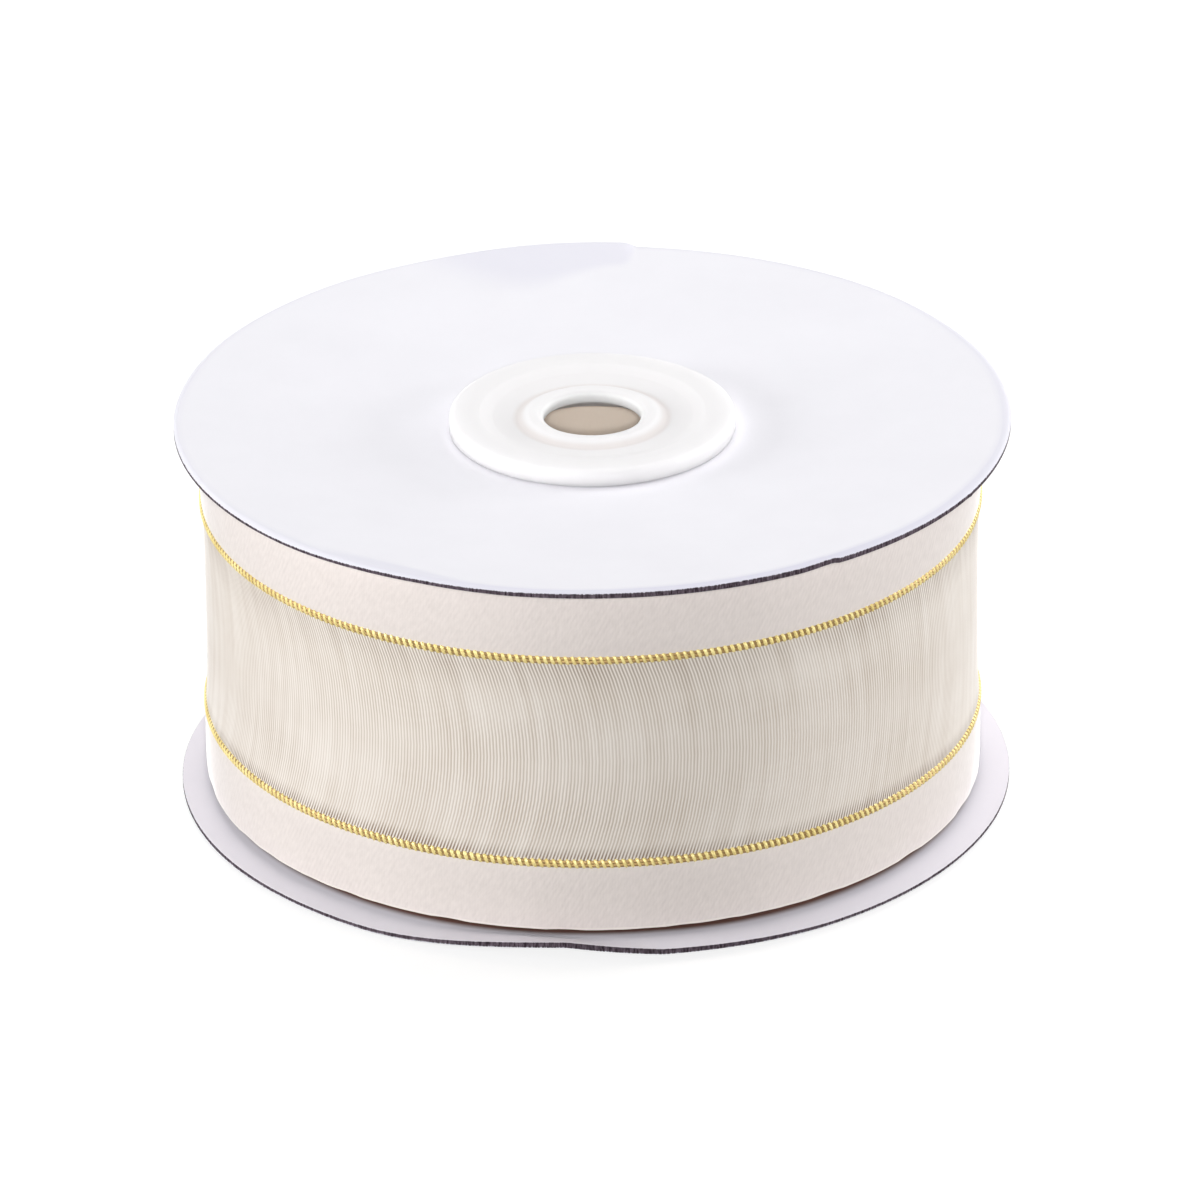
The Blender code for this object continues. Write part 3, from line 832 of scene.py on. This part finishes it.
class OBJECT_OT_ribbon_spool_flanges(bpy.types.Operator):
    """Make the two card flanges, with their rolled, bent and knocked edges"""

    bl_idname = "object.ribbon_spool_flanges"
    bl_label = "Make flanges"

    def execute(self, context):
        reel = context.scene.spool_reel
        roll_radius = FLANGE_RADIUS - context.scene.spool_ribbon.flange_lip
        card = card_material(context.scene.spool_colours, roll_radius)
        turned_up = bearings_from(BACK, -6.6, -5.0, 32)
        right_knock = bearings_from(FRONT, 35, 34, 28.5)
        left_knock = bearings_from(FRONT, -12, -24, -48)
        dent = bearings_from(FRONT, 63.4, 62.9, 62.2)
        upper_bends = [
            (reel.upper_bend, 12.0 * MM, *turned_up),
            (reel.knock, 1.8 * MM, *right_knock),
            (0.75 * reel.knock, 3.0 * MM, *left_knock),
            (-0.5 * reel.knock, 0.8 * MM, *dent),
        ]
        sprung_up = bearings_from(FRONT, 32, 8.8, -34)
        curled_up = bearings_from(FRONT, 8.8, -4, -34)
        spring = 0.45 * MM
        lower_bends = [(spring, 8.0 * MM, *sprung_up), (reel.lower_bend, 4.0 * MM, *curled_up)]
        upper_core = {"core_shown": 0.42, "core_shown_front": 0.88, "core_lean": 25, "core_spread": 50}
        lower_core = {"core_shown": 0.5, "core_shown_front": 0.93, "core_lean": 0, "core_spread": 24}
        edges = {"upper": (upper_bends, upper_core), "lower": (lower_bends, lower_core)}
        for side, sign in SIDES:
            bends, core = edges[side]
            mesh = flange_mesh(side + "_flange", reel, sign, bends, **core)
            place_piece(side + "_card_flange", mesh, card, side + "_flange")
        return {"FINISHED"}


# Hub plugs


def plug_mesh(name, reel, sign):
    """A moulded plug: rim, crown, dished web, collar round the bore, and a ribbed spigot."""
    seat = PLUG_TOP - 1.6 * MM
    rim_foot = seat - 0.22 * MM
    spigot = TUBE_RADIUS - reel.tube_wall - SEAT_GAP - reel.rib_height
    inner = spigot - 1.0 * MM
    crown = PLUG_RADIUS - 0.7 * MM
    bore = reel.bore_radius
    web = seat - 1.05 * MM
    corners = [
        (crown - 2.4 * MM, PLUG_TOP - 0.06 * MM, 1.0 * MM),
        (crown - 1.2 * MM, PLUG_TOP, 2.0 * MM),
        (PLUG_RADIUS, PLUG_TOP - 0.04 * MM, 0.6 * MM),
        (PLUG_RADIUS, rim_foot, 0.12 * MM),
        (spigot, rim_foot, 0.1 * MM),
        (spigot, PLUG_BOTTOM + 0.4 * MM, 0.2 * MM),
        (spigot - 0.4 * MM, PLUG_BOTTOM, 0.12 * MM),
        (inner, PLUG_BOTTOM, 0.15 * MM),
        (inner, web, 0.3 * MM),
        (bore + 1.95 * MM, web, 0.5 * MM),
        (bore, seat + 0.2 * MM, 0.12 * MM),
        (bore, seat + 1.0 * MM, 0.35 * MM),
        (bore + 0.6 * MM, seat + 1.4 * MM, 0.7 * MM),
        (bore + 1.6 * MM, seat + 1.4 * MM, 0.8 * MM),
        (bore + 2.8 * MM, seat + 0.8 * MM, 0.8 * MM),
        (crown - 3.8 * MM, seat + 1.1 * MM, 1.6 * MM),
    ]
    outline = filleted(corners)
    radii, heights = outline[:, 0], outline[:, 1]
    bearings = np.linspace(0.0, TURN, 288, endpoint=False)[:, None]
    on_spigot = (np.abs(radii - spigot) < 0.05 * MM) & (heights < rim_foot - 0.05 * MM)
    from_rib = np.abs((bearings * reel.rib_count / TURN) % 1.0 - 0.5) * TURN / reel.rib_count * spigot
    rib = np.sqrt(np.clip(1 - (from_rib / (0.6 * MM)) ** 2, 0.0, 1.0)) * reel.rib_height
    points = ring_points(radii + rib * on_spigot, bearings, end_heights(sign, heights))
    return shell(name, points, closed=True)


class OBJECT_OT_ribbon_spool_hub_plugs(bpy.types.Operator):
    """Make the two moulded hub plugs"""

    bl_idname = "object.ribbon_spool_hub_plugs"
    bl_label = "Make hub plugs"

    def execute(self, context):
        reel = context.scene.spool_reel
        plastic = plastic_material(context.scene.spool_colours, reel.bore_radius)
        for side, sign in SIDES:
            mesh = plug_mesh(side + "_hub_plug", reel, sign)
            place_piece(side + "_moulded_plug", mesh, plastic, side + "_hub_plug")
        return {"FINISHED"}


# Paper tube


class OBJECT_OT_ribbon_spool_tube(bpy.types.Operator):
    """Make the spiral paper tube in the middle of the roll"""

    bl_idname = "object.ribbon_spool_tube"
    bl_label = "Make paper tube"

    def execute(self, context):
        reel = context.scene.spool_reel
        bore = TUBE_RADIUS - reel.tube_wall
        corners = [(TUBE_RADIUS, TUBE_TOP), (TUBE_RADIUS, TUBE_FOOT), (bore, TUBE_FOOT), (bore, TUBE_TOP)]
        outline = filleted([(*corner, 0.2 * MM) for corner in corners])
        bearings = np.linspace(0.0, TURN, 192, endpoint=False)[:, None]
        mesh = shell("paper_tube", ring_points(outline[:, 0], bearings, outline[:, 1]), closed=True)
        paper = tube_material(context.scene.spool_colours, reel.tube_seam)
        place_piece("spiral_paper_tube", mesh, paper, "core_tube")
        return {"FINISHED"}


# Wound ribbon


def winding_radius(ribbon, back):
    """The outer turn's radius at the cords' middle, at an angle back from its cut end."""
    outermost = FLANGE_RADIUS - ribbon.flange_lip - ribbon.satin_rise
    return outermost - ribbon.turn_climb * back / TURN


def winding_angle(ribbon):
    """Angle from the cut end back to just short of the step in the roll."""
    return TURN + ribbon.tail_overlap - SEAT_GAP / winding_radius(ribbon, 0.0)


def winding_length(ribbon):
    return winding_angle(ribbon) * winding_radius(ribbon, winding_angle(ribbon) / 2)


def there_and_back(face, other):
    """A strip's outlines: across one face, and back across the other."""
    return np.concatenate([face, other[:, ::-1]], axis=1)


def wound_strip(name, ribbon, back, outward, heights, thickness, weave):
    """A closed strip of small thickness along the outer turn, from [place along, place across] arrays."""
    radii = winding_radius(ribbon, back) + outward
    bearings = ribbon.tail_bearing + back
    face = ring_points(radii, bearings, heights)
    other = ring_points(radii - thickness, bearings, heights)
    return shell(name, there_and_back(face, other), closed=False, weave=there_and_back(weave, weave))


class OBJECT_OT_ribbon_spool_roll(bpy.types.Operator):
    """Make the roll of inner turns, with the step where the outer turn starts"""

    bl_idname = "object.ribbon_spool_roll"
    bl_label = "Make inner turns"

    def execute(self, context):
        ribbon = context.scene.spool_ribbon
        turned = np.linspace(0.0, TURN, 720, endpoint=False)[:, None]
        back = ribbon.tail_overlap + turned
        outer = winding_radius(ribbon, back) - ribbon.roll_drop
        ease = 0.25 * MM
        shares = np.linspace(0.0, 1.0, 12)
        # Outline from the bore along the upper end, down the outside and back along the lower end
        top = ribbon.roll_bore + (outer - ease - ribbon.roll_bore) * shares
        radii = np.concatenate([top, outer, outer, top[:, ::-1]], axis=1)
        flat = np.full(len(shares), ROLL_TOP)
        heights = np.concatenate([flat, [ROLL_TOP - ease, ease - ROLL_TOP], -flat])
        points = ring_points(radii, ribbon.tail_bearing + back, heights)
        mesh = shell("inner_turns", points, closed=True)
        turn_pitch = 0.42 * MM
        material = roll_material(context.scene.spool_colours, turn_pitch)
        place_piece("stacked_inner_turns", mesh, material, "inner_roll")
        return {"FINISHED"}


class OBJECT_OT_ribbon_spool_satin(bpy.types.Operator):
    """Make the satin edges of the outer turn"""

    bl_idname = "object.ribbon_spool_satin"
    bl_label = "Make satin edges"

    def execute(self, context):
        ribbon = context.scene.spool_ribbon
        edge_trim = 0.1 * MM
        satin = satin_material(context.scene.spool_colours, SATIN_TOP - edge_trim)
        back = np.linspace(0.0, winding_angle(ribbon), 900)[:, None]
        across = np.linspace(0.0, 1.0, 13)
        foot = CORD_MIDDLE
        along = back * winding_length(ribbon) / winding_angle(ribbon)
        # The satin swells between the cord and its free edge, and that edge ripples slightly
        swell = ribbon.satin_rise * (1 - (2 * across - 1) ** 4)
        ripple = 0.04 * np.sin(19 * back + 0.4) + 0.03 * np.sin(43 * back + 1.9)
        for side, sign in SIDES:
            outward = swell + MM * ripple * across**2
            heights = foot + (SATIN_TOP - edge_trim - foot) * across - MM * np.abs(ripple) * across**3
            back_grid = np.broadcast_to(back, heights.shape)
            weave = np.stack(np.broadcast_arrays(along, sign * heights), axis=-1)
            strip = (back_grid, outward, sign * heights, ribbon.satin_thickness, weave)
            mesh = wound_strip(side + "_satin", ribbon, *strip)
            place_piece(side + "_satin_border", mesh, satin, side + "_satin_edge")
        return {"FINISHED"}


def cord_tree():
    """A flat cord along a path: strands that wind steeply round straight core yarns."""
    inputs = [
        ("Geometry", "Geometry", None),
        ("Lay length", "Float", 0.71 * MM),
        ("Points per lay", "Int", 14),
        ("Strands", "Int", 1),
        ("Strand radius", "Float", 0.24 * MM),
        ("Core yarns", "Int", 2),
        ("Core radius", "Float", 0.27 * MM),
        ("Strand sides", "Int", 7),
        ("Half height", "Float", 0.55 * MM),
        ("Half depth", "Float", 0.36 * MM),
        ("Material", "Material", None),
    ]
    tree, nodes, given = new_tree("Twisted cord", "GeometryNodeTree", inputs, [("Geometry", "Geometry")])
    path = nodes.add("GeometryNodeMeshToCurve", {"Mesh": given["Geometry"]}).outputs["Curve"]
    step = nodes.math("DIVIDE", given["Lay length"], given["Points per lay"])
    even = nodes.add("GeometryNodeResampleCurve", {"Curve": path, "Length": step}, mode="LENGTH")
    tangent = nodes.add("GeometryNodeInputTangent").outputs["Tangent"]
    outward = nodes.vector_math("NORMALIZE", nodes.vector_math("CROSS_PRODUCT", tangent, (0.0, 0.0, 1.0)))
    height = nodes.math("SUBTRACT", given["Half height"], given["Strand radius"])
    depth = nodes.math("SUBTRACT", given["Half depth"], given["Strand radius"])

    def copies(curve, amount):
        copy_inputs = {"Geometry": curve, "Amount": amount}
        return nodes.add("GeometryNodeDuplicateElements", copy_inputs, domain="SPLINE").outputs

    def tubes(curves, out, rise, radius):
        up = nodes.add("ShaderNodeCombineXYZ", {"Z": rise}).outputs["Vector"]
        offset = nodes.vector_math("ADD", nodes.scaled(outward, out), up)
        placed = nodes.add("GeometryNodeSetPosition", {"Geometry": curves, "Offset": offset})
        circle_inputs = {"Resolution": given["Strand sides"], "Radius": radius}
        circle = nodes.add("GeometryNodeCurvePrimitiveCircle", circle_inputs).outputs["Curve"]
        tube_inputs = {"Curve": placed.outputs["Geometry"], "Profile Curve": circle, "Fill Caps": True}
        return nodes.add("GeometryNodeCurveToMesh", tube_inputs).outputs["Mesh"]

    strands = copies(even.outputs["Curve"], given["Strands"])
    along = nodes.add("GeometryNodeSplineParameter").outputs["Length"]
    lays = nodes.math("DIVIDE", along, given["Lay length"])
    share = nodes.math("DIVIDE", strands["Duplicate Index"], given["Strands"])
    phase = nodes.math("MULTIPLY", nodes.math("ADD", lays, share), TURN)
    out = nodes.math("MULTIPLY", nodes.math("SINE", phase), depth)
    rise = nodes.math("MULTIPLY", nodes.math("COSINE", phase), height)
    wound = tubes(strands["Geometry"], out, rise, given["Strand radius"])
    yarns = copies(path, given["Core yarns"])
    middle = nodes.math("DIVIDE", nodes.math("SUBTRACT", given["Core yarns"], 1), 2.0)
    apart = nodes.math("MULTIPLY", given["Core radius"], 1.2)
    core_rise = nodes.math("MULTIPLY", nodes.math("SUBTRACT", yarns["Duplicate Index"], middle), apart)
    core = tubes(yarns["Geometry"], 0.0, core_rise, given["Core radius"])
    marked_inputs = {"Geometry": core, "Name": "core_yarn", "Value": 1.0}
    marked = nodes.add("GeometryNodeStoreNamedAttribute", marked_inputs, data_type="FLOAT", domain="POINT")
    joined = nodes.add("GeometryNodeJoinGeometry")
    for part in (marked.outputs["Geometry"], wound):
        tree.links.new(part, joined.inputs["Geometry"])
    real = nodes.add("GeometryNodeRealizeInstances", {"Geometry": joined.outputs["Geometry"]})
    dressed_inputs = {"Geometry": real.outputs["Geometry"], "Material": given["Material"]}
    dressed = nodes.add("GeometryNodeSetMaterial", dressed_inputs)
    nodes.add("NodeGroupOutput", {"Geometry": dressed.outputs["Geometry"]})
    return tree


class OBJECT_OT_ribbon_spool_cords(bpy.types.Operator):
    """Make the two twisted gold cords of the outer turn"""

    bl_idname = "object.ribbon_spool_cords"
    bl_label = "Make gold cords"

    def execute(self, context):
        ribbon = context.scene.spool_ribbon
        gold = gold_material(context.scene.spool_colours)
        tree = cord_tree()
        back = np.linspace(0.0, winding_angle(ribbon), 900)
        values = {
            "Lay length": ribbon.cord_lay,
            "Strands": ribbon.cord_strands,
            "Strand radius": ribbon.strand_radius,
            "Half height": (CORD_TOP - CORD_FOOT) / 2,
            "Material": gold,
        }
        for side, sign in SIDES:
            height = sign * CORD_MIDDLE
            bearings = ribbon.tail_bearing + back
            points = ring_points(winding_radius(ribbon, back) - ribbon.cord_sink, bearings, height)
            path = bpy.data.meshes.new(side + "_cord_path")
            edges = [(i, i + 1) for i in range(len(points) - 1)]
            path.from_pydata(points.tolist(), edges, [])
            mesh = grown(side + "_cord", path, tree, values)
            place_piece(side + "_twisted_cord", mesh, None, side + "_gold_cord")
        return {"FINISHED"}


class OBJECT_OT_ribbon_spool_sheer(bpy.types.Operator):
    """Make the sheer band between the gold cords, with its bowed weft threads"""

    bl_idname = "object.ribbon_spool_sheer"
    bl_label = "Make sheer band"

    def execute(self, context):
        ribbon = context.scene.spool_ribbon
        half = CORD_MIDDLE
        whole = winding_length(ribbon)
        per_thread = 4
        columns = per_thread * round(whole / ribbon.weft_pitch) + 1
        along = np.arange(columns)[:, None] * ribbon.weft_pitch / per_thread
        per_angle = along[-1, 0] / winding_angle(ribbon)
        across = np.linspace(-1.0, 1.0, 11)
        # The weft bows along the ribbon, and runs straight again by the cut ends
        from_end = np.minimum(along, along[-1, 0] - along)
        bow = ribbon.weft_bow * (1 - across**2) * smoothstep(0.0, 15 * MM, from_end)
        back = (along + bow) / per_angle
        crown = 0.5 + 0.5 * np.cos(TURN * along / ribbon.weft_pitch)
        outward = ribbon.weft_depth * crown - ribbon.sheer_sag * (1 - across**4)
        heights = half * across
        weave = np.stack(np.broadcast_arrays(along, heights), axis=-1)
        strip = (back, outward, heights, ribbon.sheer_thickness, weave)
        mesh = wound_strip("sheer_band", ribbon, *strip)
        material = sheer_material(context.scene.spool_colours, ribbon.weft_pitch, half)
        sheer = place_piece("sheer_cloth_band", mesh, material, "sheer_band")
        return {"FINISHED"}


# Tapes


class OBJECT_OT_ribbon_spool_tapes(bpy.types.Operator):
    """Make the clear tape over the cut end and the paper tape on the tube"""

    bl_idname = "object.ribbon_spool_tapes"
    bl_label = "Make tapes"

    def execute(self, context):
        ribbon = context.scene.spool_ribbon
        colours = context.scene.spool_colours
        outermost = winding_radius(ribbon, 0.0)
        along = np.linspace(-0.5, 0.5, 97)[:, None] * ribbon.tail_tape_length
        # Past the cut end the tape slopes down to the turn below
        fallen = smoothstep(0.5 * MM, 2.6 * MM, -along)
        outward = SEAT_GAP + ribbon.tape_thickness - ribbon.turn_climb * fallen
        heights = np.linspace(-1.0, 1.0, 7) * TAIL_TAPE_HALF_WIDTH
        weave = np.stack(np.broadcast_arrays(along, heights), axis=-1)
        strip = (along / outermost, outward, heights, ribbon.tape_thickness, weave)
        mesh = wound_strip("tail_tape_film", ribbon, *strip)
        place_piece("tail_tape_film", mesh, film_material(colours), "tail_tape")
        radius = TUBE_RADIUS + SEAT_GAP
        along = np.linspace(-0.5, 0.5, 65)[:, None] * ribbon.starter_tape_length
        heights = np.linspace(-1.0, 1.0, 9) * STARTER_HALF_WIDTH
        face = ring_points(radius + ribbon.tape_thickness, along / radius, heights)
        other = ring_points(radius, along / radius, heights)
        mesh = shell("starter_tape", there_and_back(face, other), closed=False)
        place_piece("starter_paper_tape", mesh, paper_tape_material(colours), "starter_tape")
        return {"FINISHED"}


# Stage


def lamp(name, aim, azimuth, elevation, distance, size, power):
    """A soft square lamp that faces a point, from an azimuth and an elevation in degrees."""
    turned = math.radians(azimuth)
    raised = math.radians(elevation)
    level = math.cos(raised)
    back = Vector((math.sin(turned) * level, -math.cos(turned) * level, math.sin(raised)))
    data = bpy.data.lights.new(name, "AREA")
    data.shape = "SQUARE"
    data.size = size
    data.energy = power
    made = bpy.data.objects.new(name, data)
    made.location = Vector(aim) + back * distance
    made.rotation_euler = back.to_track_quat("Z", "Y").to_euler()
    made.visible_camera = False
    bpy.context.scene.collection.objects.link(made)


def background_rays(nodes):
    """1 for the rays that should see the plain white background."""
    path = nodes.add("ShaderNodeLightPath").outputs
    seen = nodes.math("MAXIMUM", path["Is Camera Ray"], path["Is Glossy Ray"])
    return nodes.math("MAXIMUM", seen, path["Is Transmission Ray"])


class OBJECT_OT_ribbon_spool_stage(bpy.types.Operator):
    """Make the camera, the floor and the soft light"""

    bl_idname = "object.ribbon_spool_stage"
    bl_label = "Make stage"

    def execute(self, context):
        stage = context.scene.spool_stage
        self.make_camera(context.scene, stage)
        self.make_floor(context.scene, context.scene.spool_colours)
        self.make_light(context.scene, stage)
        return {"FINISHED"}

    def make_camera(self, scene, stage):
        data = bpy.data.cameras.new("camera")
        data.lens = stage.lens
        data.sensor_width = 36
        data.shift_x = stage.shift_x
        data.shift_y = stage.shift_y
        data.clip_end = 20
        camera = bpy.data.objects.new("camera", data)
        scene.collection.objects.link(camera)
        up_angle = stage.camera_elevation
        back = Vector((0.0, -math.cos(up_angle), math.sin(up_angle)))
        right = Vector((1.0, 0.0, 0.0))
        up = back.cross(right)
        turned_right = right * math.cos(stage.camera_roll) + up * math.sin(stage.camera_roll)
        turned_up = up * math.cos(stage.camera_roll) - right * math.sin(stage.camera_roll)
        axes = Matrix((turned_right, turned_up, back)).transposed().to_4x4()
        place = Vector((0.0, 0.0, MIDDLE_HEIGHT)) + back * stage.camera_distance
        camera.matrix_world = Matrix.Translation(place) @ axes
        scene.camera = camera

    def make_floor(self, scene, colours):
        mesh = bpy.data.meshes.new("floor")
        half = 4.0
        corners = [(-half, -half, 0.0), (half, -half, 0.0), (half, half, 0.0), (-half, half, 0.0)]
        mesh.from_pydata(corners, [], [(0, 1, 2, 3)])
        material = bpy.data.materials.new("pale_floor")
        material.use_nodes = True
        material.node_tree.nodes.clear()
        nodes = Nodes(material.node_tree)
        matt = nodes.add("ShaderNodeBsdfDiffuse", {"Color": opaque(colours.floor)})
        full_glow = 0.75
        strength = nodes.math("MULTIPLY", background_rays(nodes), full_glow)
        glow_inputs = {"Color": WHITE, "Strength": strength}
        glow = nodes.add("ShaderNodeEmission", glow_inputs)
        lit = nodes.add("ShaderNodeAddShader", {0: matt.outputs[0], 1: glow.outputs[0]})
        below = nodes.add("ShaderNodeNewGeometry").outputs["Backfacing"]
        clear = nodes.add("ShaderNodeBsdfTransparent")
        mix = nodes.add("ShaderNodeMixShader", {0: below, 1: lit.outputs[0], 2: clear.outputs[0]})
        nodes.add("ShaderNodeOutputMaterial", {"Surface": mix.outputs[0]})
        mesh.materials.append(material)
        floor = bpy.data.objects.new("floor", mesh)
        scene.collection.objects.link(floor)

    def make_light(self, scene, stage):
        aim = (0.0, 0.0, MIDDLE_HEIGHT)
        above = math.degrees(stage.camera_elevation)
        # Azimuth and elevation in degrees, then distance and size in metres
        lamp("front_lamp", aim, 0, above, 1.45, 0.12, stage.front_light)
        lamp("left_lamp", aim, -85, 10, 0.85, 0.28, stage.left_light)
        lamp("right_lamp", aim, 105, 6, 0.85, 0.2, stage.right_light)
        lamp("right_back_lamp", aim, 130, 35, 0.85, 0.45, stage.right_back_light)
        lamp("back_lamp", aim, 180, 70, 0.9, 0.6, stage.back_light)
        world = bpy.data.worlds.new("studio")
        world.use_nodes = True
        nodes = Nodes(world.node_tree)
        level = nodes.spread(background_rays(nodes), stage.sky_light, 1.0)
        backdrop = world.node_tree.nodes["Background"]
        backdrop.inputs["Color"].default_value = WHITE
        world.node_tree.links.new(level, backdrop.inputs["Strength"])
        scene.world = world
        scene.view_settings.view_transform = "Standard"


OPERATORS = (
    OBJECT_OT_ribbon_spool_stage,
    OBJECT_OT_ribbon_spool_flanges,
    OBJECT_OT_ribbon_spool_hub_plugs,
    OBJECT_OT_ribbon_spool_tube,
    OBJECT_OT_ribbon_spool_roll,
    OBJECT_OT_ribbon_spool_satin,
    OBJECT_OT_ribbon_spool_cords,
    OBJECT_OT_ribbon_spool_sheer,
    OBJECT_OT_ribbon_spool_tapes,
)

GROUPS = {
    "spool_reel": SpoolReel,
    "spool_ribbon": SpoolRibbon,
    "spool_colours": SpoolColours,
    "spool_stage": SpoolStage,
}


class VIEW3D_PT_ribbon_spool(bpy.types.Panel):
    """The spool's pieces, in the order they are made, with their sizes and colours"""

    bl_label = "Ribbon spool"
    bl_space_type = "VIEW_3D"
    bl_region_type = "UI"
    bl_category = "Ribbon spool"

    def draw(self, context):
        for made in OPERATORS:
            self.layout.operator(made.bl_idname)
        for name, group in GROUPS.items():
            box = self.layout.box()
            for prop in group.__annotations__:
                box.prop(getattr(context.scene, name), prop)


def register():
    for group in GROUPS.values():
        bpy.utils.register_class(group)
    for name, group in GROUPS.items():
        setattr(bpy.types.Scene, name, bpy.props.PointerProperty(type=group))
    for made in (*OPERATORS, VIEW3D_PT_ribbon_spool):
        bpy.utils.register_class(made)


def unregister():
    for made in reversed((*OPERATORS, VIEW3D_PT_ribbon_spool)):
        bpy.utils.unregister_class(made)
    for name, group in GROUPS.items():
        delattr(bpy.types.Scene, name)
        bpy.utils.unregister_class(group)


def main():
    register()
    bpy.ops.object.ribbon_spool_stage()
    bpy.ops.object.ribbon_spool_flanges()
    bpy.ops.object.ribbon_spool_hub_plugs()
    bpy.ops.object.ribbon_spool_tube()
    bpy.ops.object.ribbon_spool_roll()
    bpy.ops.object.ribbon_spool_satin()
    bpy.ops.object.ribbon_spool_cords()
    bpy.ops.object.ribbon_spool_sheer()
    bpy.ops.object.ribbon_spool_tapes()


if __name__ == "__main__":
    main()
